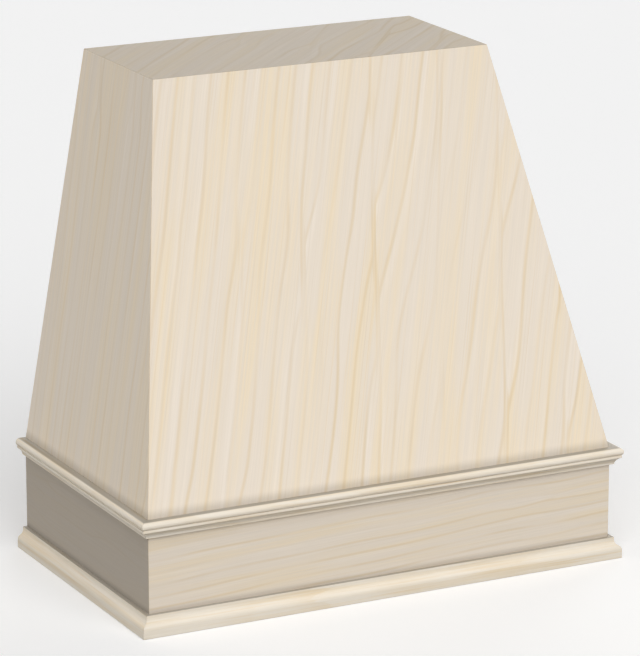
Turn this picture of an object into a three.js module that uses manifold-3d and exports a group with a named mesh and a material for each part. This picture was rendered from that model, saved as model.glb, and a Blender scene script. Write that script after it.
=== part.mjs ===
// Tapered wooden range hood cover, for a wall. Lengths are in millimetres.
//
// The cover is a hollow cabinet that goes round a kitchen extractor. A straight apron of three boards
// carries a canopy of four panels, whose front and sides lean in to a small flat top. All outer corners
// are mitred. One moulding runs round the foot of the apron, and another hides the joint between apron
// and canopy. The back is open: two rails across it are screwed to the wall, and a frame of four rails
// low in the apron takes the metal liner of the extractor. Cleats, battens and blocks are glued into
// the inner corners, and screws pull the canopy's cleats down on the apron's. Nothing moves.
//
// The model is drawn from the wall: x runs to the right, y = 0 is the wall and the front is at -y, and
// z = 0 is the underside. The group is then moved so that its origin is the middle of the footprint.
import * as THREE from "three";
import { mergeVertices } from "three/addons/utils/BufferGeometryUtils.js";
import Module from "manifold-3d";

const wasm = await Module();
wasm.setup();

const INCH = 25.4;

// Outside of the cover
const HOOD_WIDTH = 36 * INCH; // over the side boards of the apron
const HOOD_DEPTH = 21 * INCH; // wall to the face of the apron
const HOOD_HEIGHT = 36 * INCH;
const TOP_WIDTH = 658;
const TOP_DEPTH = 294;
const APRON_HEIGHT = 8 * INCH; // the canopy stands on the apron's top edges
const APRON_THICKNESS = 0.75 * INCH;
const PANEL_THICKNESS = 0.75 * INCH;

// Base moulding: a flat face, an ogee above it, and a fillet under a narrow ledge
const BASE_HEIGHT = 1.5 * INCH;
const BASE_OUT = 0.75 * INCH;
const BASE_FACE_HEIGHT = 14;
const BASE_LEDGE = 8.1;
const BASE_FILLET_HEIGHT = 4;
const SHOULDER_PULL = 12.6; // how long the ogee stays upright as it leaves the face
const THROAT_PULL = 13.8; // and as it meets the fillet

// Joint moulding: a round nose over a flat band, with a cove and a foot under it
const NOSE_RADIUS = 7.3;
const NOSE_OUT = 0.75 * INCH;
const JOINT_MOULDING_HEIGHT = 1.25 * INCH;
const JOINT_MOULDING_LAP = 4.8; // how far it stands above the joint that it hides
const BAND_OUT = 16.4;
const BAND_DROP = 14; // top of the moulding to the top of the band
const BAND_HEIGHT = 4.5;
const COVE_LIP = 1.2; // underside of the band, left flat before the cove
const COVE_PULL = 5.2; // from the band down to where the cove's curve is pulled to
const FOOT_OUT = 6.6;
const FOOT_HEIGHT = 2.8;
const FOOT_EASE = 1.4;

// Rails across the back, with holes for two screws into each wall stud
const WALL_RAIL_HEIGHT = 3.5 * INCH;
const WALL_RAIL_THICKNESS = 0.75 * INCH;
const STUD_SPACING = 16 * INCH;
const WALL_HOLE_SPACING = 2 * INCH;
const WALL_HOLE_RADIUS = 3.2;
const WALL_COUNTERSINK_RADIUS = 6.4;

// Frame for the liner, low in the apron
const LINER_RECESS = 1.5 * INCH; // underside of the cover to the underside of the frame
const LINER_RAIL_THICKNESS = 0.75 * INCH;
const LINER_OPENING_WIDTH = 28 * INCH;
const LINER_OPENING_DEPTH = 14 * INCH;

// Cleats along the inner edges, and three-cornered battens and blocks in the corners
const CLEAT_HEIGHT = 1.5 * INCH;
const JOINT_CLEAT_WIDTH = 1.5 * INCH; // at the joint between apron and canopy
const TOP_CLEAT_WIDTH = 0.75 * INCH; // against the top panel
const BATTEN_LEG = 1.75 * INCH;
const BLOCK_LEG = 1.5 * INCH;

// Countersunk screws through the canopy's cleats into the apron's
const SCREW_LENGTH = 2.5 * INCH;
const SCREW_RADIUS = 2.1;
const SCREW_HEAD_RADIUS = 4.2;
const SCREW_POINT = 6;
const SCREW_FROM_END = 3 * INCH;
const SCREW_CLEARANCE = 0.3;

const GLUE_GAP = 0.3; // left between faces that are glued at an angle
const CURVE_STEPS = 12; // along each curve of a moulding
const ROUND_SIDES = 20; // round a screw or its hole

const APRON_INNER_FRONT = -HOOD_DEPTH + APRON_THICKNESS;
const APRON_INNER_SIDE = HOOD_WIDTH / 2 - APRON_THICKNESS;
const JOINT_CLEAT_FRONT = APRON_INNER_FRONT + JOINT_CLEAT_WIDTH; // their faces towards the middle
const JOINT_CLEAT_SIDE = APRON_INNER_SIDE - JOINT_CLEAT_WIDTH;
const LINER_FRAME_TOP = LINER_RECESS + LINER_RAIL_THICKNESS;
const TOP_UNDERSIDE = HOOD_HEIGHT - PANEL_THICKNESS;
const SIDES = [
  { side: -1, name: "left" },
  { side: 1, name: "right" },
];

// ---------------------------------------------------------------- materials

const panelMaple = new THREE.MeshStandardMaterial({ color: 0xe9decb, roughness: 0.55, metalness: 0 });
const mouldingMaple = new THREE.MeshStandardMaterial({ color: 0xeee2cc, roughness: 0.5, metalness: 0 });
const innerTimber = new THREE.MeshStandardMaterial({ color: 0xd9c29a, roughness: 0.7, metalness: 0 });
const screwSteel = new THREE.MeshStandardMaterial({ color: 0xc9b988, roughness: 0.35, metalness: 1 });

// ---------------------------------------------------------------- planes

const acrossX = (x) => new THREE.Plane(new THREE.Vector3(1, 0, 0), -x);
const acrossY = (y) => new THREE.Plane(new THREE.Vector3(0, 1, 0), -y);
const level = (z) => new THREE.Plane(new THREE.Vector3(0, 0, 1), -z);

// The same plane moved inwards, against its normal.
const inside = (plane, distance) => new THREE.Plane(plane.normal.clone(), plane.constant + distance);

// The plane that halves the corner between two outer faces, as the edge of the board behind the first
// one. Each board stays half the glue gap clear of it.
function mitre(face, neighbour) {
  const half = new THREE.Plane(
    face.normal.clone().sub(neighbour.normal),
    face.constant - neighbour.constant,
  ).normalize();
  half.constant -= GLUE_GAP / 2;
  return half;
}

// The point where three planes meet.
function meet(p, q, r) {
  const qr = q.normal.clone().cross(r.normal);
  const rp = r.normal.clone().cross(p.normal);
  const pq = p.normal.clone().cross(q.normal);
  const scale = -1 / p.normal.dot(qr);
  return qr
    .multiplyScalar(p.constant)
    .addScaledVector(rp, q.constant)
    .addScaledVector(pq, r.constant)
    .multiplyScalar(scale);
}

// The outer faces of the canopy. Their normals point outwards.
const wall = acrossY(0);
const canopyFoot = level(APRON_HEIGHT);
const topFace = level(HOOD_HEIGHT);

// Rises from the apron's top edge to the edge of the top, each at its distance in a level direction.
function leaningFace(outward, apronEdge, topEdge) {
  const rise = HOOD_HEIGHT - APRON_HEIGHT;
  const normal = outward.clone().multiplyScalar(rise).setZ(apronEdge - topEdge).normalize();
  const foot = outward.clone().multiplyScalar(apronEdge).setZ(APRON_HEIGHT);
  return new THREE.Plane().setFromNormalAndCoplanarPoint(normal, foot);
}

const frontFace = leaningFace(new THREE.Vector3(0, -1, 0), HOOD_DEPTH, TOP_DEPTH);
const sideFace = (side) => leaningFace(new THREE.Vector3(side, 0, 0), HOOD_WIDTH / 2, TOP_WIDTH / 2);
const leftFace = sideFace(-1);
const rightFace = sideFace(1);

// Where cleats and battens meet the inner faces of the canopy.
const frontSeat = inside(frontFace, PANEL_THICKNESS + GLUE_GAP);
const sideSeat = (side) => inside(sideFace(side), PANEL_THICKNESS + GLUE_GAP);
const leftSeat = sideSeat(-1);
const rightSeat = sideSeat(1);

// ---------------------------------------------------------------- solids

// Joins a geometry's shared corners, drops triangles without area and turns the faces outwards.
function closed(geometry) {
  geometry.deleteAttribute("normal");
  geometry.deleteAttribute("uv");
  const solid = mergeVertices(geometry);
  const position = solid.getAttribute("position");
  const corner = (i) => new THREE.Vector3().fromBufferAttribute(position, i);
  const index = solid.getIndex().array;
  const triangles = [];
  let volume = 0;
  for (let i = 0; i < index.length; i += 3) {
    const [a, b, c] = index.slice(i, i + 3);
    if (a !== b && b !== c && c !== a) {
      triangles.push([a, b, c]);
      volume += corner(a).dot(corner(b).cross(corner(c)));
    }
  }
  if (volume < 0) {
    triangles.forEach((triangle) => triangle.reverse());
  }
  solid.setIndex(triangles.flat());
  return solid;
}

// A board between two faces and the edge planes that follow each other round it. Its corners are the
// points where a face meets two neighbouring edges, so any edge may be bevelled.
function board(face, backFace, edges) {
  const count = edges.length;
  const corners = (plane) => edges.map((edge, i) => meet(plane, edge, edges[(i + 1) % count]));
  const triangles = [];
  for (let i = 0; i < count; i++) {
    const next = (i + 1) % count;
    triangles.push(i, next, count + next, i, count + next, count + i);
  }
  for (let i = 1; i < count - 1; i++) {
    triangles.push(0, i + 1, i, count, count + i, count + i + 1);
  }
  const geometry = new THREE.BufferGeometry().setFromPoints([...corners(face), ...corners(backFace)]);
  geometry.setIndex(triangles);
  return closed(geometry);
}

// A square-cut board, from its low to its high limit along each axis.
function squareBoard([x0, x1], [y0, y1], [z0, z1]) {
  return board(level(z0), level(z1), [acrossX(x0), acrossY(y0), acrossX(x1), acrossY(y1)]);
}

// A length of a profile. The profile's x stands out from the board behind it and its y goes up, and
// place() carries a profile point at share 0 or 1 of the length to its place on the hood.
function lengthOf(profile, place) {
  const geometry = new THREE.ExtrudeGeometry(profile, {
    depth: 1,
    steps: 1,
    bevelEnabled: false,
    curveSegments: CURVE_STEPS,
  });
  const position = geometry.getAttribute("position");
  const point = new THREE.Vector3();
  for (let i = 0; i < position.count; i++) {
    point.fromBufferAttribute(position, i);
    position.setXYZ(i, ...place(point.x, point.y, point.z));
  }
  return closed(geometry);
}

// A turned solid: the outline gives [radius, distance along y], from the axis back to the axis.
function turned(outline) {
  const points = outline.map(([radius, along]) => new THREE.Vector2(radius, along));
  return closed(new THREE.LatheGeometry(points, ROUND_SIDES));
}

// What a drill and countersink take out. It starts a little before the surface at y = 0.
function countersunkHole(radius, mouthRadius, depth) {
  const before = -1;
  return turned([
    [0, before],
    [mouthRadius, before],
    [mouthRadius, 0],
    [radius, mouthRadius - radius],
    [radius, depth],
    [0, depth],
  ]);
}

function toManifold(geometry) {
  return new wasm.Manifold(
    new wasm.Mesh({
      numProp: 3,
      vertProperties: new Float32Array(geometry.getAttribute("position").array),
      triVerts: new Uint32Array(geometry.getIndex().array),
    }),
  );
}

function drilled(geometry, holes) {
  let solid = toManifold(geometry);
  for (const hole of holes) {
    solid = solid.subtract(toManifold(hole));
  }
  const mesh = solid.getMesh();
  const result = new THREE.BufferGeometry();
  result.setAttribute("position", new THREE.BufferAttribute(mesh.vertProperties, 3));
  result.setIndex(new THREE.BufferAttribute(mesh.triVerts, 1));
  return result;
}

function named(name, geometry, material) {
  geometry.computeVertexNormals();
  const mesh = new THREE.Mesh(geometry, material);
  mesh.name = name;
  return mesh;
}

const timber = (name, geometry) => named(name, geometry, innerTimber);

// ---------------------------------------------------------------- apron and mouldings

// Carries a profile round the front and both sides, mitred at the two front corners and cut square at
// the wall. The profile's x = 0 lies on the outer face of the apron.
function threeSides(name, profile, bottom, material) {
  const setBack = (GLUE_GAP / 2) * Math.SQRT2;
  const reach = (out) => HOOD_WIDTH / 2 + out;
  const mix = THREE.MathUtils.lerp;
  const front = lengthOf(profile, (out, up, share) => {
    const end = reach(out) - setBack;
    return [mix(-end, end, share), -HOOD_DEPTH - out, bottom + up];
  });
  const group = new THREE.Group().add(named(`${name}_front`, front, material));
  for (const { side, name: sideName } of SIDES) {
    const length = lengthOf(profile, (out, up, share) => {
      const frontEnd = -HOOD_DEPTH - out + setBack;
      return [side * reach(out), mix(frontEnd, 0, share), bottom + up];
    });
    group.add(named(`${name}_${sideName}`, length, material));
  }
  return group;
}

function apronProfile() {
  return new THREE.Shape()
    .moveTo(-APRON_THICKNESS, 0)
    .lineTo(0, 0)
    .lineTo(0, APRON_HEIGHT)
    .lineTo(-APRON_THICKNESS, APRON_HEIGHT)
    .closePath();
}

function baseProfile() {
  const throat = BASE_HEIGHT - BASE_FILLET_HEIGHT;
  return new THREE.Shape()
    .moveTo(0, 0)
    .lineTo(BASE_OUT, 0)
    .lineTo(BASE_OUT, BASE_FACE_HEIGHT)
    .bezierCurveTo(
      BASE_OUT,
      BASE_FACE_HEIGHT + SHOULDER_PULL,
      BASE_LEDGE,
      throat - THROAT_PULL,
      BASE_LEDGE,
      throat,
    )
    .lineTo(BASE_LEDGE, BASE_HEIGHT)
    .lineTo(0, BASE_HEIGHT)
    .closePath();
}

function jointMouldingProfile() {
  const top = JOINT_MOULDING_HEIGHT;
  const noseX = NOSE_OUT - NOSE_RADIUS;
  const noseY = top - NOSE_RADIUS;
  const bandTop = top - BAND_DROP;
  const bandBottom = bandTop - BAND_HEIGHT;
  const noseStart = -Math.asin((noseY - bandTop) / NOSE_RADIUS);
  return new THREE.Shape()
    .moveTo(0, 0)
    .lineTo(FOOT_OUT, 0)
    .lineTo(FOOT_OUT, FOOT_HEIGHT)
    .quadraticCurveTo(FOOT_OUT + FOOT_EASE, bandBottom - COVE_PULL, BAND_OUT - COVE_LIP, bandBottom)
    .lineTo(BAND_OUT, bandBottom)
    .lineTo(BAND_OUT, bandTop)
    .absarc(noseX, noseY, NOSE_RADIUS, noseStart, Math.PI / 2, false)
    .lineTo(0, top)
    .closePath();
}

// ---------------------------------------------------------------- canopy

function canopyPanels() {
  const panel = (name, face, edges) => {
    return named(name, board(face, inside(face, PANEL_THICKNESS), edges), panelMaple);
  };
  return new THREE.Group().add(
    panel("front_panel", frontFace, [
      canopyFoot,
      mitre(frontFace, rightFace),
      mitre(frontFace, topFace),
      mitre(frontFace, leftFace),
    ]),
    panel("left_side_panel", leftFace, [
      canopyFoot,
      mitre(leftFace, frontFace),
      mitre(leftFace, topFace),
      wall,
    ]),
    panel("right_side_panel", rightFace, [
      canopyFoot,
      mitre(rightFace, frontFace),
      mitre(rightFace, topFace),
      wall,
    ]),
    panel("top_panel", topFace, [
      mitre(topFace, frontFace),
      mitre(topFace, rightFace),
      wall,
      mitre(topFace, leftFace),
    ]),
  );
}

// ---------------------------------------------------------------- frame inside

// Four rails lying flat in the apron. The liner's flange is screwed up to them from below.
function linerFrame() {
  const heights = [LINER_RECESS, LINER_FRAME_TOP];
  const railWidth = (-APRON_INNER_FRONT - LINER_OPENING_DEPTH) / 2;
  const openingFront = APRON_INNER_FRONT + railWidth;
  const fullWidth = [-APRON_INNER_SIDE, APRON_INNER_SIDE];
  const between = [openingFront, -railWidth];
  const left = [-APRON_INNER_SIDE, -LINER_OPENING_WIDTH / 2];
  const right = [LINER_OPENING_WIDTH / 2, APRON_INNER_SIDE];
  return new THREE.Group().add(
    timber("liner_rail_front", squareBoard(fullWidth, [APRON_INNER_FRONT, openingFront], heights)),
    timber("liner_rail_back", squareBoard(fullWidth, [-railWidth, 0], heights)),
    timber("liner_rail_left", squareBoard(left, between, heights)),
    timber("liner_rail_right", squareBoard(right, between, heights)),
  );
}

// The holes of one wall rail, countersunk on the side away from the wall.
function wallHoles(railFoot) {
  const middle = railFoot + WALL_RAIL_HEIGHT / 2;
  const holes = [];
  for (const across of [-STUD_SPACING / 2, STUD_SPACING / 2]) {
    for (const up of [-WALL_HOLE_SPACING / 2, WALL_HOLE_SPACING / 2]) {
      const through = WALL_RAIL_THICKNESS + SCREW_CLEARANCE;
      const hole = countersunkHole(WALL_HOLE_RADIUS, WALL_COUNTERSINK_RADIUS, through);
      holes.push(hole.translate(across, -WALL_RAIL_THICKNESS, middle + up));
    }
  }
  return holes;
}

// The rails that are screwed to the wall: one stands on the liner frame, the other is under the top.
function wallRails() {
  const upperFoot = TOP_UNDERSIDE - WALL_RAIL_HEIGHT;
  const lower = squareBoard(
    [-APRON_INNER_SIDE, APRON_INNER_SIDE],
    [-WALL_RAIL_THICKNESS, 0],
    [LINER_FRAME_TOP, LINER_FRAME_TOP + WALL_RAIL_HEIGHT],
  );
  const upper = board(acrossY(-WALL_RAIL_THICKNESS), wall, [
    level(upperFoot),
    rightSeat,
    level(TOP_UNDERSIDE),
    leftSeat,
  ]);
  return new THREE.Group().add(
    timber("wall_rail_lower", drilled(lower, wallHoles(LINER_FRAME_TOP))),
    timber("wall_rail_upper", drilled(upper, wallHoles(upperFoot))),
  );
}

// Where the screws stand on the canopy's cleats: midway across the cleat's upper face.
function jointScrewSpots() {
  const z = APRON_HEIGHT + CLEAT_HEIGHT;
  const frontY = (meet(frontSeat, level(z), acrossX(0)).y + JOINT_CLEAT_FRONT) / 2;
  const outer = JOINT_CLEAT_SIDE - SCREW_FROM_END;
  const spots = { front: [-outer, 0, outer].map((x) => [x, frontY, z]) };
  for (const { side, name } of SIDES) {
    const x = (meet(sideSeat(side), level(z), wall).x + side * JOINT_CLEAT_SIDE) / 2;
    spots[name] = [JOINT_CLEAT_FRONT + SCREW_FROM_END, -SCREW_FROM_END].map((y) => [x, y, z]);
  }
  return spots;
}

// Stands a turned solid on its head, so that it runs down from the given point.
const downFrom = (geometry, spot) => geometry.rotateX(-Math.PI / 2).translate(...spot);

function jointScrewHoles(spots) {
  const mouth = SCREW_HEAD_RADIUS + SCREW_CLEARANCE * Math.SQRT2;
  const radius = SCREW_RADIUS + SCREW_CLEARANCE;
  const depth = SCREW_LENGTH + SCREW_CLEARANCE;
  return spots.map((spot) => downFrom(countersunkHole(radius, mouth, depth), spot));
}

function jointScrews() {
  const group = new THREE.Group();
  for (const [place, spots] of Object.entries(jointScrewSpots())) {
    spots.forEach((spot, i) => {
      const screw = turned([
        [0, 0],
        [SCREW_HEAD_RADIUS, 0],
        [SCREW_RADIUS, SCREW_HEAD_RADIUS - SCREW_RADIUS],
        [SCREW_RADIUS, SCREW_LENGTH - SCREW_POINT],
        [0, SCREW_LENGTH],
      ]);
      group.add(named(`joint_screw_${place}_${i + 1}`, downFrom(screw, spot), screwSteel));
    });
  }
  return group;
}

// Cleats along the top edge of the apron, and others along the foot of the canopy, which stand on them.
function jointCleats() {
  const spots = jointScrewSpots();
  const apronHeights = [APRON_HEIGHT - CLEAT_HEIGHT, APRON_HEIGHT];
  const canopyHigh = level(APRON_HEIGHT + CLEAT_HEIGHT);
  const group = new THREE.Group();
  const add = (place, apronCleat, canopyCleat) => {
    const holes = jointScrewHoles(spots[place]);
    group.add(timber(`apron_cleat_${place}`, drilled(apronCleat, holes)));
    group.add(timber(`canopy_cleat_${place}`, drilled(canopyCleat, holes)));
  };
  add(
    "front",
    squareBoard([-APRON_INNER_SIDE, APRON_INNER_SIDE], [APRON_INNER_FRONT, JOINT_CLEAT_FRONT], apronHeights),
    board(canopyFoot, canopyHigh, [frontSeat, rightSeat, acrossY(JOINT_CLEAT_FRONT), leftSeat]),
  );
  for (const { side, name } of SIDES) {
    const across = [side * APRON_INNER_SIDE, side * JOINT_CLEAT_SIDE];
    add(
      name,
      squareBoard(across, [JOINT_CLEAT_FRONT, 0], apronHeights),
      board(canopyFoot, canopyHigh, [
        sideSeat(side),
        acrossY(JOINT_CLEAT_FRONT),
        acrossX(side * JOINT_CLEAT_SIDE),
        wall,
      ]),
    );
  }
  return group;
}

// Cleats under the top panel: one across the front, and one each side back to the upper wall rail.
function topCleats() {
  const high = level(TOP_UNDERSIDE);
  const low = level(TOP_UNDERSIDE - CLEAT_HEIGHT);
  const innerFront = acrossY(meet(frontSeat, high, acrossX(0)).y + TOP_CLEAT_WIDTH);
  const innerSide = meet(rightSeat, high, wall).x - TOP_CLEAT_WIDTH;
  const group = new THREE.Group().add(
    timber("top_cleat_front", board(low, high, [frontSeat, rightSeat, innerFront, leftSeat])),
  );
  for (const { side, name } of SIDES) {
    const edges = [sideSeat(side), innerFront, acrossX(side * innerSide), acrossY(-WALL_RAIL_THICKNESS)];
    group.add(timber(`top_cleat_${name}`, board(low, high, edges)));
  }
  return group;
}

// A three-cornered stick in the corner between a front and a side plane, between two heights.
function cornerStick(frontPlane, sidePlane, side, leg, low, high) {
  const fromCorner = (z, x, y) => meet(frontPlane, sidePlane, level(z)).add(new THREE.Vector3(x, y, 0));
  const slope = new THREE.Plane().setFromCoplanarPoints(
    fromCorner(low, -side * leg, 0),
    fromCorner(low, 0, leg),
    fromCorner(high, 0, leg),
  );
  return board(level(low), level(high), [frontPlane, sidePlane, slope]);
}

function cornerSticks() {
  const group = new THREE.Group();
  const battenLow = APRON_HEIGHT + CLEAT_HEIGHT;
  const battenHigh = TOP_UNDERSIDE - CLEAT_HEIGHT;
  for (const { side, name } of SIDES) {
    const batten = cornerStick(frontSeat, sideSeat(side), side, BATTEN_LEG, battenLow, battenHigh);
    const block = cornerStick(
      acrossY(APRON_INNER_FRONT),
      acrossX(side * APRON_INNER_SIDE),
      side,
      BLOCK_LEG,
      LINER_FRAME_TOP,
      APRON_HEIGHT - CLEAT_HEIGHT,
    );
    group.add(timber(`canopy_batten_${name}`, batten), timber(`apron_block_${name}`, block));
  }
  return group;
}

// ---------------------------------------------------------------- the hood

const jointMouldingFoot = APRON_HEIGHT + JOINT_MOULDING_LAP - JOINT_MOULDING_HEIGHT;

const hood = new THREE.Group();
hood.add(
  threeSides("apron", apronProfile(), 0, panelMaple),
  threeSides("base_moulding", baseProfile(), 0, mouldingMaple),
  threeSides("joint_moulding", jointMouldingProfile(), jointMouldingFoot, mouldingMaple),
  canopyPanels(),
  linerFrame(),
  wallRails(),
  jointCleats(),
  jointScrews(),
  topCleats(),
  cornerSticks(),
);
hood.position.y = (HOOD_DEPTH + Math.max(BASE_OUT, NOSE_OUT)) / 2;

export default hood;
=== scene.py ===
# %% [markdown]
# # A tapered wooden range hood cover
# The real cover is joiner's work: an apron of three boards, a canopy of four panels, two runs of moulding
# and, inside, the rails, cleats and blocks that hold it together. It is sold bare, so that the owner can
# paint or stain it, and the picture is all about pale maple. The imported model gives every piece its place
# and size. This lesson planes the edges of the pieces, sweeps the mouldings again in fine steps and gives
# each piece its wood.

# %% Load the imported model
import math
import random

import bmesh
import bpy
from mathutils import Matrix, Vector


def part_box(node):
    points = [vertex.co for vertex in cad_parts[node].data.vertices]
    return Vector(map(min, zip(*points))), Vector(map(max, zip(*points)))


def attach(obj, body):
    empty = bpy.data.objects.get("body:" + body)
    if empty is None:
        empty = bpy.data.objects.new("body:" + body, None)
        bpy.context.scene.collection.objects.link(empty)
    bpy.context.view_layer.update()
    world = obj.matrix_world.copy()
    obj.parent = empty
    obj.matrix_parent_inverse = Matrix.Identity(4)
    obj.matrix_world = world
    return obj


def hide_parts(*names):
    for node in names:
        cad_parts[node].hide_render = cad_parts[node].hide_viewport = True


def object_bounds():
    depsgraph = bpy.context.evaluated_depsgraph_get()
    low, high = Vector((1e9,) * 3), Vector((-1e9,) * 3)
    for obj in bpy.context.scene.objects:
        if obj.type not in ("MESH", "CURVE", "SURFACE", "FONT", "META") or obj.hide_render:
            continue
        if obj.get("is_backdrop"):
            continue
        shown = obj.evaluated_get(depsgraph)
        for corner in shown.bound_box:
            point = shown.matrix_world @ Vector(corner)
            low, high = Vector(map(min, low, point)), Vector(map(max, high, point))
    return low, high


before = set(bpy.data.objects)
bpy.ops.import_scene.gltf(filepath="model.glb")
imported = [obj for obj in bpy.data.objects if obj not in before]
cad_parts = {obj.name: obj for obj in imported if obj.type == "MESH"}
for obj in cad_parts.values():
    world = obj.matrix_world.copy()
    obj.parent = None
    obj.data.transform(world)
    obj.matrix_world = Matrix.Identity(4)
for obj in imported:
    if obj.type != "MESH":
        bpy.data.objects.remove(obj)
CAD_LOW, CAD_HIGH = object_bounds()
BODY = "root"
print(len(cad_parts), "pieces of the cover are loaded")

# %% [markdown]
# ## The camera
# The photograph was taken from the front left and a little above, with a long lens from far away: its
# upright lines hardly close in. The camera was found by matching the cover's corners. A long lens is
# easiest to give by how many pixels of the photograph one unit of slope takes.

# %% Place the camera
PHOTO_WIDTH = 640
PHOTO_HEIGHT = 656
FOCAL_PIXELS = 4011
FILM_WIDTH = 36.0
VIEW_AZIMUTH = -27.0
VIEW_ELEVATION = 15.74
VIEW_DISTANCE = 7.276
AIM = Vector((0.0415, 0.0762, 0.3998))


def direction(azimuth, elevation):
    """Points from the cover to a place around it. Azimuth 0 is straight in front, in degrees."""
    turn = math.radians(azimuth)
    rise = math.radians(elevation)
    return Vector((math.sin(turn) * math.cos(rise), -math.cos(turn) * math.cos(rise), math.sin(rise)))


def add_to_scene(name, data):
    """Puts a camera, lamp or mesh into the scene."""
    thing = bpy.data.objects.new(name, data)
    bpy.context.scene.collection.objects.link(thing)
    return thing


def face_along(thing, away):
    """Turns a camera or lamp so that it looks against a direction."""
    thing.rotation_mode = "QUATERNION"
    thing.rotation_quaternion = away.to_track_quat("Z", "Y")


camera = add_to_scene("photo_camera", bpy.data.cameras.new("photo_camera"))
camera.data.sensor_width = FILM_WIDTH
camera.data.lens = FOCAL_PIXELS * FILM_WIDTH / max(PHOTO_WIDTH, PHOTO_HEIGHT)
camera.location = AIM + VIEW_DISTANCE * direction(VIEW_AZIMUTH, VIEW_ELEVATION)
face_along(camera, direction(VIEW_AZIMUTH, VIEW_ELEVATION))
bpy.context.scene.camera = camera
bpy.context.scene.view_settings.view_transform = "Standard"
print(f"the lens is {camera.data.lens:.1f} mm")

# %% [markdown]
# ## Shader maths as plain expressions
# A wood is drawn from a few waves and random fields, which is a lot of small nodes. Two classes keep that
# readable. `Wire` wraps one socket, so that `1 - line * 0.4` adds its Math nodes by itself. `Finish` is
# one node tree, and its `node` method adds any other node from its kind, settings and inputs.


# %% Wires
class Wire:
    """One output socket of a node, which can be used in sums."""

    def __init__(self, finish, socket):
        self.finish = finish
        self.socket = socket

    def math(self, operation, *others):
        """A Math node on this number and the others."""
        inputs = dict(enumerate((self,) + others))
        return self.finish.node("ShaderNodeMath", {"operation": operation}, inputs)

    def __add__(self, other):
        return self.math("ADD", other)

    def __sub__(self, other):
        return self.math("SUBTRACT", other)

    def __rsub__(self, other):
        return self.math("MULTIPLY_ADD", -1.0, other)

    def __mul__(self, other):
        return self.math("MULTIPLY", other)

    __radd__ = __add__
    __rmul__ = __mul__

    def floor(self):
        return self.math("FLOOR")

    def either(self, other):
        """The stronger of two marks."""
        return self.math("MAXIMUM", other)

    def step(self, start, end):
        """0 below start, 1 above end, and a smooth rise between them."""
        inputs = {"Value": self, "From Min": start, "From Max": end}
        return self.finish.node("ShaderNodeMapRange", {"interpolation_type": "SMOOTHSTEP"}, inputs)

    def vector_math(self, operation, inputs, output=0):
        """A Vector Math node on this vector or colour."""
        inputs = {0: self, **inputs}
        return self.finish.node("ShaderNodeVectorMath", {"operation": operation}, inputs, output)


print("wires add Math nodes")

# %% [markdown]
# ## Colours
# Colours are easiest to choose as a screen shows them, from 0 to 255. The renderer counts in linear light,
# so each one is turned by the screen's own curve.


# %% Screen colours
def screen(red, green, blue):
    """A colour as a screen shows it, 0 to 255, in the renderer's own linear light."""
    parts = [part / 255 for part in (red, green, blue)]
    return [part / 12.92 if part < 0.04045 else ((part + 0.055) / 1.055) ** 2.4 for part in parts] + [1.0]


print(f"a mid grey on screen is {screen(128, 128, 128)[0]:.2f} in linear light")

# %% [markdown]
# ## Finishes
# A finish reads what each mesh carries about its own wood, adds random fields that are stretched along
# the grain, and mixes colours. Then it ends in one Principled shader. Each of these is a short method.


# %% Finishes
class Finish:
    """A node tree, built up by code."""

    def __init__(self, owner):
        owner.use_nodes = True
        self.owner = owner
        self.tree = owner.node_tree
        self.tree.nodes.clear()

    def node(self, kind, settings=None, inputs=None, output=0):
        """Adds a node, sets it, feeds its sockets and returns one of its outputs."""
        made = self.tree.nodes.new(kind)
        for name, value in (settings or {}).items():
            setattr(made, name, value)
        for name, value in (inputs or {}).items():
            if isinstance(value, Wire):
                self.tree.links.new(value.socket, made.inputs[name])
            else:
                made.inputs[name].default_value = value
        return Wire(self, made.outputs[output]) if made.outputs else None

    def carried(self, name, output="Fac"):
        """A value that the piece's mesh carries."""
        return self.node("ShaderNodeAttribute", {"attribute_name": name}, None, output)

    def noise(self, place, along, across, detail=2.0):
        """A smooth random field around 0, with so many waves in a metre along the grain and across it."""
        fine = place.vector_math("MULTIPLY", {1: (along, across, across)})
        return self.node("ShaderNodeTexNoise", None, {"Vector": fine, "Scale": 1.0, "Detail": detail}) - 0.5

    def part(self, place, axis):
        """One part of a place: 0 is along the grain, 1 across it and 2 deep into the board."""
        return self.node("ShaderNodeSeparateXYZ", None, {0: place}, axis)

    def luck(self, number):
        """A random share from 0 to 1 for each number. A whole number plus a part draws once more."""
        return self.node("ShaderNodeTexWhiteNoise", {"noise_dimensions": "1D"}, {"W": number})

    def mix(self, first, second, share):
        """The first colour where share is 0, and the second where it is 1."""
        return self.node("ShaderNodeMix", {"data_type": "RGBA"}, {0: share, 6: first, 7: second}, 2)

    def surface(self, **inputs):
        """Ends the tree in a Principled shader. An underscore in a name stands for a space."""
        named = {name.replace("_", " "): value for name, value in inputs.items()}
        shader = self.node("ShaderNodeBsdfPrincipled", None, named)
        self.node("ShaderNodeOutputMaterial", None, {0: shader})
        return self.owner


print("finishes are ready")

# %% [markdown]
# ## Plywood faced with maple
# The panels and apron boards are 19 mm plywood with a thin maple veneer. Every board's mesh carries its
# place in the wood as along, across and deep. On the face, late wood makes honey-coloured lines some
# 30 mm apart. Where the knife met a wave in the log, the lines gather and run side by side for a while,
# then part again. The count of rings rises evenly across the board, and here and there it climbs steeply,
# which gathers them. A line must keep its width there, so its distance is the count divided by its slope.
# Each ring has its own luck: a few lines are strong, most are faint, and some have a whiter strip at one
# side. Widths are in metres, the sway and trembling of a line are counted in rings, and the drift of the
# gathers in their own spacing.

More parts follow.
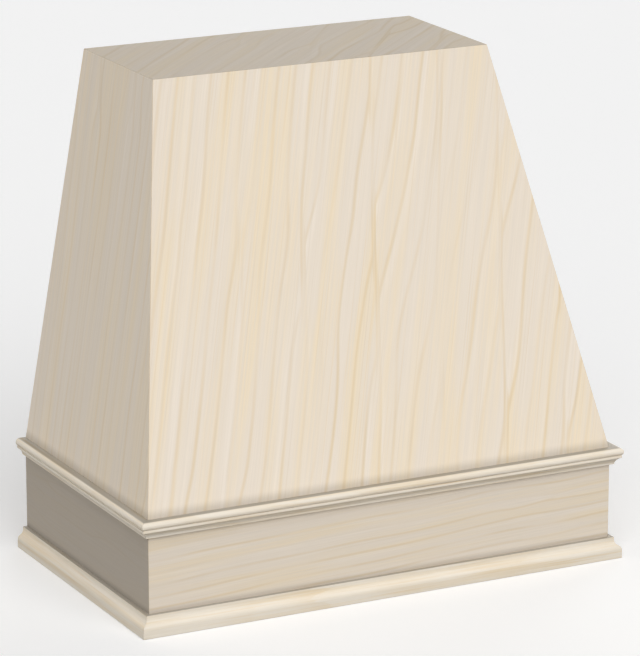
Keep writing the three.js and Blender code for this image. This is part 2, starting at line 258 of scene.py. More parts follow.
# %% The figure of the veneer
RINGS_PER_METRE = 31
GATHERS_PER_METRE = 8.0
GATHER_LEAN = -0.13
GATHER_SHARE = 0.1
GATHERED_RINGS = 1.5
SWAY = 1.5
TREMBLE = 0.14
GATHER_DRIFT = 0.9
LINE_WIDTH = 0.0056
FAINTEST_LINE = 0.2
WORN_LINE = 0.3
STRIP_START = (0.002, 0.006)
STRIP_END = (0.009, 0.02)
STRIPS_TURNED = 0.35


def veneer_figure(finish, place):
    """How strong the honey lines are, and the whiter strips beside some of them."""
    along, across = finish.part(place, 0), finish.part(place, 1)
    sway = finish.noise(place, 1.7, 2.6, 1.0) * SWAY
    tremble = finish.noise(place, 4.0, 16.0, 1.0) * TREMBLE
    drift = finish.noise(place, 1.2, 3.0, 1.0) * GATHER_DRIFT
    wave = (across + along * GATHER_LEAN) * GATHERS_PER_METRE + drift
    wave = wave - wave.floor()
    climb = (wave * (1 / GATHER_SHARE)).math("MINIMUM", 1.0)
    strength = finish.noise(place, 2.6, 1.2, 0.0).step(0.0, 0.2) * GATHERED_RINGS
    count = across * RINGS_PER_METRE + sway + tremble + (climb.step(0.0, 1.0) - wave - 0.5) * strength
    # A smooth step of x has the slope 6 x (1 - x).
    steep = climb * (1 - climb) * (6 / GATHER_SHARE) - 1
    slope = RINGS_PER_METRE + steep * strength * GATHERS_PER_METRE
    ring = (count + 0.5).floor()
    beside = (count - ring).math("DIVIDE", slope)
    fade = finish.noise(place, 4.0, 14.0, 1.0).step(-0.18, 0.12) * (1 - WORN_LINE) + WORN_LINE
    luck = finish.luck(ring) * (1 - FAINTEST_LINE) + FAINTEST_LINE
    line = (1 - beside.math("ABSOLUTE").step(0.0, LINE_WIDTH)) * luck * fade
    beside = beside * (finish.luck(ring + 0.4).math("GREATER_THAN", STRIPS_TURNED) * 2 - 1)
    white = beside.step(*STRIP_START) * (1 - beside.step(*STRIP_END))
    return line, white * fade * finish.luck(ring + 0.7).step(0.2, 0.8)


print("the veneer has", RINGS_PER_METRE, "rings in a metre, and gathers", GATHERS_PER_METRE, "times")

# %% [markdown]
# ## What all bare wood shares
# Sanded wood is matt, so its sheen is broad and weak. Its fibres stand up by a few tenths of a millimetre at
# most, which a bump shows well enough. Shade is painted into the corner right above each moulding, where the
# wood is made darker. Its height is read from the packed mouldings.

# %% Bare wood and the painted shade in its corners
FIBRE_HEIGHT = 0.0003
BASE_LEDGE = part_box("base_moulding_front")[1].z
JOINT_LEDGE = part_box("joint_moulding_front")[1].z
CANOPY_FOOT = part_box("front_panel")[0].z
CORNER_REACH = 0.018
BASE_CORNER_SHARE = 0.7


def painted_corner_shade(finish):
    """Where shade is painted: 1 in the corners above the mouldings, and 0 a finger's breadth away."""
    height = finish.part(finish.node("ShaderNodeTexCoord", None, None, "Object"), 2)
    above_joint = 1 - height.step(JOINT_LEDGE, JOINT_LEDGE + CORNER_REACH)
    above_base = 1 - height.step(BASE_LEDGE, BASE_LEDGE + CORNER_REACH * BASE_CORNER_SHARE)
    return (above_joint * height.math("GREATER_THAN", CANOPY_FOOT)).either(above_base)


def bare_wood(finish, colour, height, roughness, sheen):
    """Ends a finish as sanded wood, with fibres that stand up a little."""
    relief = {"Height": height, "Strength": 0.3, "Distance": FIBRE_HEIGHT}
    bump = finish.node("ShaderNodeBump", None, relief)
    return finish.surface(
        Base_Color=colour, Roughness=roughness, Normal=bump, IOR=1.45, Specular_IOR_Level=sheen
    )


print(f"the corners end {1000 * CORNER_REACH:.0f} mm above the mouldings")

# %% [markdown]
# ## The whole veneer
# Between the lines the wood differs very little: it drifts between a cool white and straw, and fine pins
# and fibres, some centimetres long, lie over all. The sawn edges of a board show its plies: every other
# one is cut across its fibres and looks darker, with a thin line of glue between.

# %% The finish of veneered plywood
MAPLE_WHITE = screen(242, 231, 217)
MAPLE_PLAIN = screen(237, 225, 209)
MAPLE_STRAW = screen(240, 224, 198)
MAPLE_HONEY = screen(222, 194, 143)
PLY_LONG = screen(222, 201, 167)
PLY_CROSS = screen(188, 160, 122)
PLY_THICKNESS = 0.00146
GLUE_SHARE = 0.1
HONEY_IN_LINES = 0.46
HONEY_IN_PINS = 0.2
CORNER_SHADE = 0.27


def maple_veneer():
    """Bare maple veneer, with plies on the sawn edges."""
    finish = Finish(bpy.data.materials.new("maple_veneer"))
    place = finish.carried("grain", "Vector")
    line, white = veneer_figure(finish, place)
    figure = finish.carried("figure")
    streak = finish.noise(place, 3.0, 230.0, 3.0)
    fibre = finish.noise(place, 24.0, 1500.0)
    cloud = finish.noise(place, 1.8, 24.0).step(-0.12, 0.18)
    colour = finish.mix(MAPLE_PLAIN, MAPLE_STRAW, cloud * (streak.step(-0.2, 0.12) * 0.6 + 0.4) * figure)
    colour = finish.mix(colour, MAPLE_WHITE, white * (streak.step(-0.3, 0.1) * 0.45 + 0.2) * figure)
    pins = finish.noise(place, 2.2, 380.0, 1.0).step(0.06, 0.26)
    honey = (line * HONEY_IN_LINES).either(pins * HONEY_IN_PINS)
    colour = finish.mix(colour, MAPLE_HONEY, honey * figure)
    deep = finish.part(place, 2) * (1 / PLY_THICKNESS)
    ply = deep * 0.5 - (deep * 0.5).floor()
    glue = 1 - (deep - deep.floor()).step(0.0, GLUE_SHARE)
    plies = finish.mix(PLY_LONG, PLY_CROSS, ply.step(0.49, 0.51))
    plies = plies.vector_math("SCALE", {"Scale": 1 + streak * 0.3 - glue * 0.3})
    colour = finish.mix(colour, plies, finish.carried("sawn"))
    # Eased edges are 4% lighter: freshly sanded wood is a little paler there, and the lift also paints a
    # highlight along the edges.
    shade = (1 + streak * 0.12 + fibre * 0.08) * (1 + finish.carried("eased") * 0.04)
    # Painted shade: the veneer is darkened in the corners above the mouldings.
    shade = shade * (1 - painted_corner_shade(finish) * CORNER_SHADE)
    colour = colour.vector_math("SCALE", {"Scale": shade * finish.carried("tone")})
    height = fibre * 0.6 + streak * 0.4 - line * 0.3
    return bare_wood(finish, colour, height, 0.72 + fibre * 0.2 + line * 0.06, sheen=0.06)


VENEER = maple_veneer()
print(len(VENEER.node_tree.nodes), "nodes draw the veneer")

# %% [markdown]
# ## Solid timber
# The mouldings are milled from solid maple, and the hidden frame is planed pine. In solid wood the rings
# are tubes round the heart of the log, so their count is the distance from the heart. Each stick lies at
# its own distance from it: that is part of the place its mesh carries. The wood is squeezed hard along the
# grain before the distance is taken, so the rings change slowly that way, as in a trunk that tapers. They
# show as long streaks on the faces, and as slanting streaks and arcs on the ends, which soak up light and
# look darker.

# %% The finish of solid timber
TRUNK_TAPER = 0.03


def solid_timber(name, early, late, ring_width, contrast, end_shade, roughness):
    """Solid wood: pale early wood, darker late wood, and rings of one mean width."""
    finish = Finish(bpy.data.materials.new(name))
    place = finish.carried("grain", "Vector")
    beside_heart = place.vector_math("MULTIPLY", {1: (TRUNK_TAPER, 1.0, 1.0)})
    radius = beside_heart.vector_math("LENGTH", {}, "Value")
    sway = finish.noise(place, 1.5, 14.0) * 3.0
    tremble = finish.noise(place, 9.0, 90.0) * 0.7
    count = radius * (1 / ring_width) + sway + tremble
    ring = count.floor()
    age = count - ring
    grown = age.step(0.2, 0.93) * (1 - age.step(0.93, 1.0)) * (finish.luck(ring) * 0.7 + 0.3)
    streak = finish.noise(place, 3.5, 160.0, 3.0)
    fibre = finish.noise(place, 26.0, 1400.0)
    band = finish.noise(place, 4.0, 120.0).step(-0.05, 0.2)
    pins = finish.noise(place, 6.0, 360.0).step(-0.02, 0.2)
    colour = finish.mix(early, late, (grown * 0.3 + band * 0.4 + pins * 0.4) * contrast)
    sawn = finish.carried("sawn")
    shade = (1 + streak * 0.14 + fibre * 0.08) * (1 - sawn * end_shade) * (1 - sawn * grown * 0.25)
    colour = colour.vector_math("SCALE", {"Scale": shade * finish.carried("tone")})
    height = fibre * 0.6 + streak * 0.4 - grown * 0.3
    return bare_wood(finish, colour, height, roughness + fibre * 0.2, sheen=0.2)


MOULDED_MAPLE = solid_timber(
    "moulded_maple",
    early=screen(239, 230, 215),
    late=screen(226, 201, 158),
    ring_width=0.0058,
    contrast=0.7,
    end_shade=0.16,
    roughness=0.6,
)
PLANED_PINE = solid_timber(
    "planed_pine",
    early=screen(233, 210, 177),
    late=screen(205, 162, 116),
    ring_width=0.0041,
    contrast=0.9,
    end_shade=0.3,
    roughness=0.62,
)
print("moulded maple and planed pine are ready")

# %% [markdown]
# ## Zinc on the screws
# The screws are zinc plated with a yellow passivation, which drifts between straw and a faint green and
# dulls where the driver and the wood rub it.

# %% The finish of the screws
ZINC_STRAW = screen(214, 196, 138)
ZINC_GREEN = screen(196, 192, 150)


def yellow_zinc():
    """Zinc plate with a yellow passivation."""
    finish = Finish(bpy.data.materials.new("yellow_zinc"))
    place = finish.node("ShaderNodeTexCoord", None, None, "Object")
    drift = finish.noise(place, 260.0, 260.0)
    rub = finish.noise(place, 900.0, 900.0, 3.0)
    colour = finish.mix(ZINC_STRAW, ZINC_GREEN, drift.step(-0.12, 0.12))
    colour = colour.vector_math("SCALE", {"Scale": 1 + rub * 0.25})
    roughness = 0.32 + rub.step(-0.1, 0.2) * 0.2
    return finish.surface(Base_Color=colour, Metallic=1.0, Roughness=roughness)


ZINC = yellow_zinc()
print("the zinc is ready")

# %% [markdown]
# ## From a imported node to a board
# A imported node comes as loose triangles. Welding their corners and joining what lies flat gives back the
# faces of the board, as a joiner sees them. A plane can then take off its sharp edges, stroke by stroke,
# which is also how a real arris is eased: a bevel tool would cut a groove along each mitre instead.


# %% Weld a node and plane it
def whole_faces(node):
    """A node's shape, with shared corners and whole flat faces."""
    shape = bmesh.new()
    shape.from_mesh(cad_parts[node].data)
    bmesh.ops.remove_doubles(shape, verts=shape.verts, dist=1e-6)
    bmesh.ops.dissolve_limit(shape, angle_limit=math.radians(1), verts=shape.verts, edges=shape.edges)
    shape.normal_update()
    return shape


def plane_off(shape, point, away, marks):
    """One stroke of the plane: takes off what stands beyond it, and marks the new strip."""
    everything = shape.verts[:] + shape.edges[:] + shape.faces[:]
    cut = bmesh.ops.bisect_plane(
        shape, geom=everything, dist=1e-7, plane_co=point, plane_no=away, clear_outer=True
    )
    rim = [part for part in cut["geom_cut"] if isinstance(part, bmesh.types.BMEdge)]
    if rim:
        for strip in bmesh.ops.contextual_create(shape, geom=rim)["faces"]:
            strip[marks] = 1.0


print("a node can be planed")

# %% [markdown]
# ## Easing the edges
# Sandpaper rounds every outer edge a little. At a plain edge the round runs from one face to the other.
# At a mitre two boards share it: each board's tip is sharper than a right angle, and the round ends at
# the joint, flush with the neighbour's. There the other board's face is the mirror image of this one's.

# %% Ease the long edges
LONG_EDGE = 0.012
MITRE_TIP = math.radians(118)
INNER_MITRE = math.radians(58)
EDGE_STROKES = (0.25, 0.5, 0.75)
MITRE_STROKES = (0.25, 0.5)


def strokes_for(edge, radius):
    """The plane strokes that round one edge: a point and a direction for each."""
    if edge.calc_length() < LONG_EDGE or not edge.is_manifold or not edge.is_convex:
        return []
    broad, narrow = sorted(edge.link_faces, key=lambda face: -face.calc_area())
    bend = broad.normal.angle(narrow.normal)
    if bend < INNER_MITRE:
        return []
    far, shares = narrow.normal.copy(), EDGE_STROKES
    if bend > MITRE_TIP:
        far, shares = broad.normal.reflect(narrow.normal), MITRE_STROKES
    corner = edge.verts[0].co
    centre = corner - (broad.normal + far) * radius / (1 + broad.normal.dot(far))
    return [(centre + radius * away, away) for away in (broad.normal.slerp(far, share) for share in shares)]


def ease_edges(shape, radius):
    """Rounds all long outer edges of a board."""
    marks = shape.faces.layers.float.new("eased")
    strokes = [stroke for edge in shape.edges for stroke in strokes_for(edge, radius)]
    for point, away in strokes:
        plane_off(shape, point, away, marks)
    return len(strokes)


print("edges longer than", 1000 * LONG_EDGE, "mm are eased")

# %% [markdown]
# ## A place in the wood for every point
# A pattern that follows each board's own grain needs to know where a point lies in it. Every vertex gets
# its distance along the grain, across it and deep into the board, and each board starts at its own random
# place, so that no two look alike. Another number of the log cuts all of them from another one. A fineness
# above 1 draws a board's figure closer together. Faces that are sawn are marked: in plywood these are all
# the edges, and in a solid stick only its ends.

# %% Mark the grain
LOG = 4
WOOD_TO_CHOOSE = 40
HEART_ASIDE = 0.05
HEART_AWAY = (0.03, 0.09)
INNER_SIDE = 0.01
BROAD_FACE = 0.75
END_FACE = 0.6


def mark_grain(shape, name, along, outward, tone, plywood, figure=1.0, fineness=1.0, inner_tone=1.0):
    """Stores along, across and deep on the corners, and marks the sawn faces."""
    start = random.Random(f"{name} {LOG}")
    shift = Vector((start.uniform(0, WOOD_TO_CHOOSE), start.uniform(0, WOOD_TO_CHOOSE), 0.0))
    if not plywood:
        aside = start.uniform(0, WOOD_TO_CHOOSE), start.uniform(-HEART_ASIDE, HEART_ASIDE)
        shift = Vector((*aside, start.uniform(*HEART_AWAY)))
    along = (along - outward * along.dot(outward)).normalized()
    across = outward.cross(along)
    surface = max(corner.co.dot(outward) for corner in shape.verts)
    grain = shape.verts.layers.float_vector.new("grain")
    shade = shape.verts.layers.float.new("tone")
    strength = shape.verts.layers.float.new("figure")
    for corner in shape.verts:
        deep = surface - corner.co.dot(outward)
        place = (corner.co.dot(along) * fineness, corner.co.dot(across) * fineness, deep)
        corner[grain] = Vector(place) + shift
        corner[shade] = tone if deep < INNER_SIDE else tone * inner_tone
        corner[strength] = figure
    sawn = shape.faces.layers.float.new("sawn")
    for face in shape.faces:
        cut = abs(face.normal.dot(along)) > END_FACE
        if plywood:
            cut = abs(face.normal.dot(outward)) < BROAD_FACE
        face[sawn] = 1.0 if cut else 0.0


print("grain can be marked")

# %% [markdown]
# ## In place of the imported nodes
# A finished shape stands where its node stood, takes its material and moves with the cover's one body.
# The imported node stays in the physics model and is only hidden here. So a piece may be finer than its
# node, but it is never in another place.


# %% Put a piece in place
def finish_piece(name, node, shape, material):
    """Makes a piece of the cover from a shape, in place of its node."""
    mesh = bpy.data.meshes.new(name)
    shape.to_mesh(mesh)
    shape.free()
    mesh.materials.append(material)
    piece = add_to_scene(name, mesh)
    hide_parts(node)
    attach(piece, BODY)
    return piece


print("pieces can be put in place")

# %% [markdown]
# ## The panels and apron boards
# On the real cover each panel is cut from its own sheet. The photograph shows how the sheets were turned:
# the front panel's figure leans to the right, the side panels' stands nearly upright, the top's crosses it
# at a slant, and the apron's lies along the boards. The apron's side boards are plain. Shade is painted into
# the tones of the top and of the apron's side boards: the top is darker than the other panels, the left
# apron board is the darkest of all, and the right one, which isn't seen, is painted darker too. The list
# gives for each board its outer side, the direction of its grain, its tone, how strong its figure is and how
# fine.

# %% Make the panels
PANEL_ROUND = 0.0007
PANEL_INNER_TONE = 0.93


def outer_normal(node, towards):
    """The direction of the broad face that looks most towards a direction."""
    shape = whole_faces(node)
    broad = sorted(shape.faces, key=lambda face: -face.calc_area())[:2]
    normal = max((face.normal.copy() for face in broad), key=towards.dot)
    shape.free()
    return normal


def lean(upright, sideways, degrees):
    """A direction that leaves upright and leans sideways."""
    return upright * math.cos(math.radians(degrees)) + sideways * math.sin(math.radians(degrees))


X, Y, Z = Vector((1, 0, 0)), Vector((0, 1, 0)), Vector((0, 0, 1))
# The tones of the top and of the apron's side boards hold painted shade.
PANELS = [
    ("front_panel", -Y, lean(Z, X, 15), 0.99, 1.1, 1.0),
    ("left_side_panel", -X, lean(Z, Y, 3), 1.0, 0.7, 1.0),
    ("right_side_panel", X, lean(Z, Y, 3), 1.0, 0.7, 1.0),
    ("top_panel", Z, lean(X, Y, 45), 0.7, 0.8, 1.0),
    ("apron_front", -Y, lean(X, Z, 2), 0.93, 0.9, 1.6),
    ("apron_left", -X, Y, 0.61, 0.3, 1.8),
    ("apron_right", X, Y, 0.85, 0.3, 1.8),
]
for node, towards, along, tone, figure, fineness in PANELS:
    shape = whole_faces(node)
    outward = outer_normal(node, towards)
    strokes = ease_edges(shape, PANEL_ROUND)
    mark_grain(shape, node, along, outward, tone, True, figure, fineness, PANEL_INNER_TONE)
    finish_piece(f"{node}_ply", node, shape, VENEER)
    print(node, "took", strokes, "strokes of the plane")

# %% [markdown]
# ## The frame inside
# Rails, cleats, battens and blocks are pine, planed on four sides. The grain runs along the longest edge
# of each, also where it leans with the canopy, and its rings show on the ends. Their edges are eased too,
# because hands reach in when the cover is hung and the liner goes in.

# %% Make the frame
STICK_ROUND = 0.0012
STICK_TONES = (0.9, 1.04)
STICK_WORDS = ("rail", "cleat", "batten", "block")
sticks = sorted(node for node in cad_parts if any(word in node for word in STICK_WORDS))
for node in sticks:
    shape = whole_faces(node)
    longest = max(shape.edges, key=lambda edge: edge.calc_length())
    along = (longest.verts[1].co - longest.verts[0].co).normalized()
    outward = max(shape.faces, key=lambda face: face.calc_area()).normal.copy()
    ease_edges(shape, STICK_ROUND)
    tone = random.Random(node + "tone").uniform(*STICK_TONES)
    mark_grain(shape, node, along, outward, tone, plywood=False)
    finish_piece(f"{node}_pine", node, shape, PLANED_PINE)
print(len(sticks), "sticks are planed")

# %% [markdown]
# ## The section of a moulding
# Each moulding is a run of one section, milled in long lengths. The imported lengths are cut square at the
# wall, so the end of a side length shows the section itself. A cutter leaves no perfectly sharp corner:
# each one is rounded a little here, with a straight stretch kept tight beside it so that flat bands stay
# flat when they are shaded smooth. A round never takes more than its share of a short side.

# %% Read and soften the sections
APRON_SIDE_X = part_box("apron_right")[1].x
APRON_FRONT_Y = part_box("apron_front")[0].y
WALL_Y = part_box("apron_right")[1].y
CUTTER_ROUND = 0.0006
SHARP_TURN = math.radians(20)
SIDE_SHARE = 0.45
LONG_SIDE = 4  # in reaches of the round
ROUND_STEPS = 4


def wall_section(node):
    """A right-hand moulding's outline at the wall, as (out, up) points in order."""
    shape = whole_faces(node)
    end = max(shape.faces, key=lambda face: face.normal.y)
    outline = [Vector((corner.co.x - APRON_SIDE_X, corner.co.z)) for corner in end.verts]
    shape.free()
    return outline[::-1]


def soften(outline):
    """Rounds the sharp corners of an outline."""
    soft = []
    for before, corner, after in zip(outline[-1:] + outline[:-1], outline, outline[1:] + outline[:1]):
        arriving, leaving = corner - before, after - corner
        turn = arriving.angle(leaving)
        if turn < SHARP_TURN:
            soft.append(corner)
            continue
        room = SIDE_SHARE * min(arriving.length, leaving.length)
        reach = min(CUTTER_ROUND * math.tan(turn / 2), room)
        start = corner - arriving.normalized() * reach
        end = corner + leaving.normalized() * reach
        if arriving.length > LONG_SIDE * reach:
            soft.append(start - arriving.normalized() * reach)
        for step in range(ROUND_STEPS + 1):
            share = step / ROUND_STEPS
            soft.append(start.lerp(corner, share).lerp(corner.lerp(end, share), share))
        if leaving.length > LONG_SIDE * reach:
            soft.append(end + leaving.normalized() * reach)
    return soft


sections = {kind: soften(wall_section(f"{kind}_right")) for kind in ("base_moulding", "joint_moulding")}
for kind, outline in sections.items():
    print(kind, "has", len(outline), "points round its section")

# %% [markdown]
# ## The runs of moulding
# A run goes round three sides. The front length is mitred at both ends, and each side length is mitred
# in front and square at the wall. Both ends of a point of the section follow from how far out it stands,
# so the mitre needs no cutting. A hair's breadth is left between the lengths, as in real work.

# %% Find the ends
MITRE_GAP = 0.0001


def ends_of_length(side, out):
    """Where a point of the section starts and ends on one side of the cover, seen from above."""
    corner_x, corner_y = APRON_SIDE_X + out, APRON_FRONT_Y - out
    if side == "front":
        return (-corner_x + MITRE_GAP, corner_y), (corner_x - MITRE_GAP, corner_y)
    if side == "left":
        return (-corner_x, WALL_Y), (-corner_x, corner_y + MITRE_GAP)
    return (corner_x, corner_y + MITRE_GAP), (corner_x, WALL_Y)


print("the lengths stop", 1000 * MITRE_GAP, "mm short of each mitre")

# %% [markdown]
# ## Six lengths of moulding
# Sweeping the section from one end to the other gives a length. Its corners carry their place in the wood,
# with the grain along the length. Shade is painted on the top ledge, so it is darker than the milled faces.

# %% Sweep the mouldings
PAINTED_LEDGE_SHADE = 0.5
BASE_TONES = {"front": 0.955, "left": 1.01, "right": 0.98}
MOULDING_HEART_ASIDE = 0.03
MOULDING_HEART_AWAY = (0.04, 0.08)
SMOOTH_LIMIT = math.radians(32)


def sweep_length(name, section, side, tone):
    """One length of moulding, with its grain along it."""
    shape = bmesh.new()
    grain = shape.verts.layers.float_vector.new("grain")
    shade = shape.verts.layers.float.new("tone")
    sawn = shape.faces.layers.float.new("sawn")
    luck = random.Random(name)
    aside = luck.uniform(0, WOOD_TO_CHOOSE), luck.uniform(-MOULDING_HEART_ASIDE, MOULDING_HEART_ASIDE)
    shift = Vector((*aside, luck.uniform(*MOULDING_HEART_AWAY)))
    rings = ([], [])
    for out, up in section:
        for ring, (x, y) in zip(rings, ends_of_length(side, out)):
            corner = shape.verts.new((x, y, up))
            corner[grain] = Vector((x + y, up, out)) + shift
            ring.append(corner)
    count = len(section)
    top = max(up for out, up in section)
    for corner in rings[0] + rings[1]:
        # Painted shade: corners at the top ledge get half the tone, rising to the full tone within a
        # cutter's round below it.
        off_ledge = min(1.0, (top - corner.co.z) / CUTTER_ROUND)
        corner[shade] = tone * (PAINTED_LEDGE_SHADE + (1 - PAINTED_LEDGE_SHADE) * off_ledge)
    for i in range(count):
        j = (i + 1) % count
        shape.faces.new((rings[0][i], rings[1][i], rings[1][j], rings[0][j])).smooth = True
    for ring in (rings[0][::-1], rings[1]):
        shape.faces.new(ring)[sawn] = 1.0
    bmesh.ops.recalc_face_normals(shape, faces=shape.faces)
    return shape


for kind, section in sections.items():
    for side in ("front", "left", "right"):
        node = f"{kind}_{side}"
        tone = BASE_TONES[side] if kind == "base_moulding" else 1.0
        shape = sweep_length(node, section, side, tone)
        piece = finish_piece(f"{node}_length", node, shape, MOULDED_MAPLE)
        piece.data.set_sharp_from_angle(angle=SMOOTH_LIMIT)
        print(node, "has", len(piece.data.polygons), "faces")

# %% [markdown]
# ## The screws
# Seven countersunk screws pull the canopy's cleats down on the apron's. Only their heads can show, from the
# open back. A head is a cone with a cross recess, and the shank is a core with a thread that winds round
# it. A screw is built as rings of corners, one below the other. The thread is a wave in their radius that
# climbs by one pitch in each turn, and it runs out at the point.

# %% Rings round a screw
SCREW_SIDES = 28
SCREW_TURNS = [2 * math.pi * i / SCREW_SIDES for i in range(SCREW_SIDES)]
CORE_SHARE = 0.36  # of the head's radius
THREAD_PITCH = 0.0022
THREAD_HEIGHT = 0.0005
THREAD_ROWS = 6  # rings of corners in one pitch
RIDGE_SLOPE = 5  # a ridge fills 2 / 5 of a pitch
POINT_LENGTH = 0.007
POINT_RADIUS = 0.00005


def circle(shape, radii, z):
    """A ring of corners round the screw's axis, each at its own radius."""
    ring = []
    for radius, turn in zip(radii, SCREW_TURNS):
        ring.append(shape.verts.new((radius * math.cos(turn), radius * math.sin(turn), z)))
    return ring


def thread_radius(z, turn, core, taper):
    """How far the thread or the core stands from the axis."""
    phase = (z / THREAD_PITCH + turn / (2 * math.pi)) % 1.0
    ridge = max(0.0, 1 - abs(phase - 0.5) * RIDGE_SLOPE)
    return max(POINT_RADIUS, (core + THREAD_HEIGHT * ridge) * taper)


def skin(shape, upper, lower):
    """Joins two rings of corners with faces."""
    count = len(upper)
    for i in range(count):
        j = (i + 1) % count
        shape.faces.new((upper[i], lower[i], lower[j], upper[j])).smooth = True


print("a ring has", SCREW_SIDES, "corners")

# %% [markdown]
# ## The cross recess
# The driver's cross narrows towards its floor, so it is two outlines of one shape, with walls between. The
# flat of the head is what is left between the recess and the rim, and a triangle fill closes it.

# %% Cut the recess
RECESS_DEPTH = 0.0016
RECESS_LONG = 0.0023
RECESS_WIDE = 0.00065
RECESS_FLOOR = 0.55  # of its size at the top


def cross(shape, shrink, z):
    """The outline of the recess, as a ring of twelve corners."""
    a, b = RECESS_LONG * shrink, RECESS_WIDE * shrink
    outline = [(a, b), (b, b), (b, a), (-b, a), (-b, b), (-a, b), (-a, -b), (-b, -b), (-b, -a), (b, -a)]
    return [shape.verts.new((x, y, z)) for x, y in outline + [(b, -b), (a, -b)]]


def loop_edges(shape, ring):
    """The edges that join a ring of corners."""
    pairs = zip(ring, ring[1:] + ring[:1])
    return [shape.edges.get(pair) or shape.edges.new(pair) for pair in pairs]


def head_with_recess(shape, rim, z):
    """Closes the top of a screw inside its rim, with the driver's cross cut in."""
    recess = cross(shape, 1.0, z)
    rims = loop_edges(shape, rim) + loop_edges(shape, recess)
    bmesh.ops.triangle_fill(shape, edges=rims, use_beauty=True)
    floor = cross(shape, RECESS_FLOOR, z - RECESS_DEPTH)
    skin(shape, floor, recess)
    shape.faces.new(floor)


print(f"the recess is {1000 * RECESS_DEPTH:.1f} mm deep")

# %% [markdown]
# ## Seven whole screws
# A node's box gives the width of the head, the length and the place of its screw. From the rim down, each
# ring is joined to the one above it, and the last one closes the point.


# %% Turn the screws
def turn_screw(low, high):
    """A screw that fills the box of its node, head up, round the box's middle."""
    shape = bmesh.new()
    head = (high.x - low.x) / 2
    core = head * CORE_SHARE
    neck = high.z - (head - core - THREAD_HEIGHT)
    rim = circle(shape, [head] * SCREW_SIDES, high.z)
    head_with_recess(shape, rim, high.z)
    rows = int((neck - low.z) / THREAD_PITCH * THREAD_ROWS)
    above = rim
    for row in range(rows + 1):
        z = neck + (low.z - neck) * row / rows
        taper = min(1.0, (z - low.z) / POINT_LENGTH)
        below = circle(shape, [thread_radius(z, turn, core, taper) for turn in SCREW_TURNS], z)
        skin(shape, above, below)
        above = below
    shape.faces.new(above)
    bmesh.ops.translate(shape, verts=shape.verts, vec=((low.x + high.x) / 2, (low.y + high.y) / 2, 0))
    bmesh.ops.recalc_face_normals(shape, faces=shape.faces)
    return shape


screws = sorted(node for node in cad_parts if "screw" in node)
for node in screws:
    piece = finish_piece(f"{node}_zinc", node, turn_screw(*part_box(node)), ZINC)
    piece.data.set_sharp_from_angle(angle=SMOOTH_LIMIT)
print(len(screws), "screws have", len(piece.data.polygons), "faces each")

# %% [markdown]
# ## The light
# In the photograph the leaning front panel is brighter than the upright apron, the slopes of the mouldings
# are brighter still, and the flat top is much darker. So the light comes down on the front at about 40
# degrees. A broad sun gives that. A weaker one from the left lights that side, a low even sky fills the
# rest, and a third sun from behind on the right keeps the far side and the open back readable. Together
# they add up to about 1 on the front panel, so the wood renders as it is written. The list gives each
# one's azimuth and elevation, its strength, and how wide it is in degrees.

# %% Light the scene
LAMPS = [
    ("window_light", -12, 40, 0.85, 70),
    ("side_light", -95, 3, 0.375, 60),
    ("back_light", 138, 5, 0.72, 40),
]
for name, azimuth, elevation, share, spread in LAMPS:
    lamp = add_to_scene(name, bpy.data.lights.new(name, "SUN"))
    lamp.data.energy = share * math.pi
    lamp.data.angle = math.radians(spread)
    face_along(lamp, direction(azimuth, elevation))
print(len(LAMPS), "lamps are lit")

# %% [markdown]
# ## The sky
# The sky lights the wood only weakly. The camera and mirror-like reflections see it nearly white instead,
# as the wall of a pale studio. Its level is set so that it meets the far floor in nearly the same tone.

# %% Paint the sky
WHITE = (1, 1, 1, 1)
SKY_LEVEL = 0.1
BACKGROUND_LEVEL = 0.888
world = bpy.data.worlds.new("pale_studio")
bpy.context.scene.world = world
sky = Finish(world)
seen = sky.node("ShaderNodeLightPath", None, None, "Is Camera Ray")
mirrored = sky.node("ShaderNodeLightPath", None, None, "Is Glossy Ray")
level = (BACKGROUND_LEVEL - SKY_LEVEL) * seen.either(mirrored) + SKY_LEVEL
light = sky.node("ShaderNodeBackground", None, {"Color": WHITE, "Strength": level})
sky.node("ShaderNodeOutputWorld", None, {0: light})
print("the sky's level is", SKY_LEVEL)

# %% [markdown]
# ## The floor
# The cover stands on a plain pale floor that runs on to the horizon. It lies a hair below the cover's foot,
# because two faces in one plane would flicker.

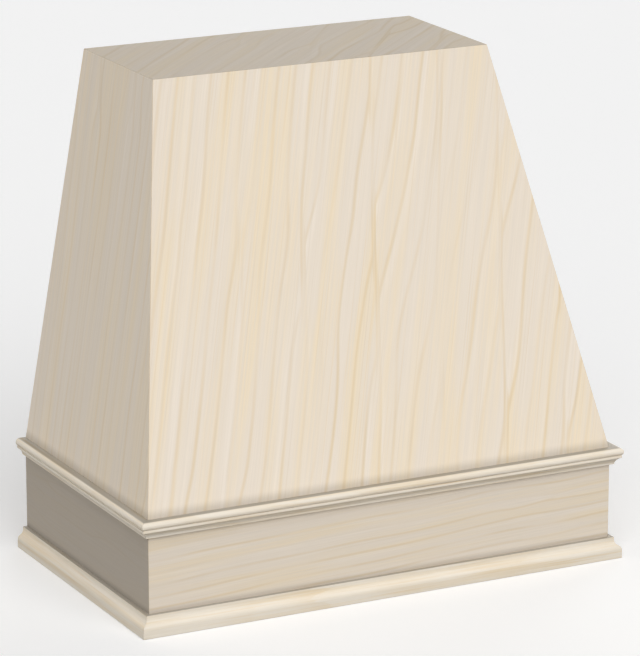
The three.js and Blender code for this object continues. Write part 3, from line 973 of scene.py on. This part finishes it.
# %% Lay the floor
FLOOR_REACH = 60.0
FLOOR_DROP = 0.0004
shape = bmesh.new()
bmesh.ops.create_grid(shape, x_segments=1, y_segments=1, size=FLOOR_REACH)
bmesh.ops.translate(shape, verts=shape.verts, vec=(0, 0, CAD_LOW.z - FLOOR_DROP))
mesh = bpy.data.meshes.new("studio_floor")
shape.to_mesh(mesh)
shape.free()
floor = add_to_scene("studio_floor", mesh)
floor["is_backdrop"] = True
print("the floor is", 2 * FLOOR_REACH, "m wide")

# %% [markdown]
# ## The floor's two faces
# Floor and background are one tone. The camera and mirror-like reflections see the floor pale, with the
# cover's soft shadow on it. To other rays it is a darker grey, so it doesn't throw more light up at the
# wood than the photograph shows.

# %% Paint the floor
PALE_FLOOR = (0.82, 0.82, 0.82, 1)
DULL_FLOOR = (0.34, 0.34, 0.34, 1)
FLOOR_GLOW = 0.24
ground = Finish(bpy.data.materials.new("studio_floor"))
seen = ground.node("ShaderNodeLightPath", None, None, "Is Camera Ray")
mirrored = ground.node("ShaderNodeLightPath", None, None, "Is Glossy Ray")
pale = ground.node("ShaderNodeBsdfDiffuse", None, {"Color": PALE_FLOOR})
glow = ground.node("ShaderNodeEmission", None, {"Color": WHITE, "Strength": FLOOR_GLOW})
shown = ground.node("ShaderNodeAddShader", None, {0: pale, 1: glow})
dull = ground.node("ShaderNodeBsdfDiffuse", None, {"Color": DULL_FLOOR})
shader = ground.node("ShaderNodeMixShader", None, {0: seen.either(mirrored), 1: dull, 2: shown})
ground.node("ShaderNodeOutputMaterial", None, {0: shader})
floor.data.materials.append(ground.owner)
print("the floor glows by", FLOOR_GLOW)

# %% [markdown]
# ## The size of the visual model
# The dressed cover has to stay the size of the imported one. How far each corner of its box lies from the
# imported box is printed.

# %% Write both boxes and finish
NEW_LOW, NEW_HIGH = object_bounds()
for corner, cad, visual in (("low", CAD_LOW, NEW_LOW), ("high", CAD_HIGH, NEW_HIGH)):
    print(corner, "corner:", [f"{1000 * part:.2f}" for part in visual - cad], "mm from the packed one")
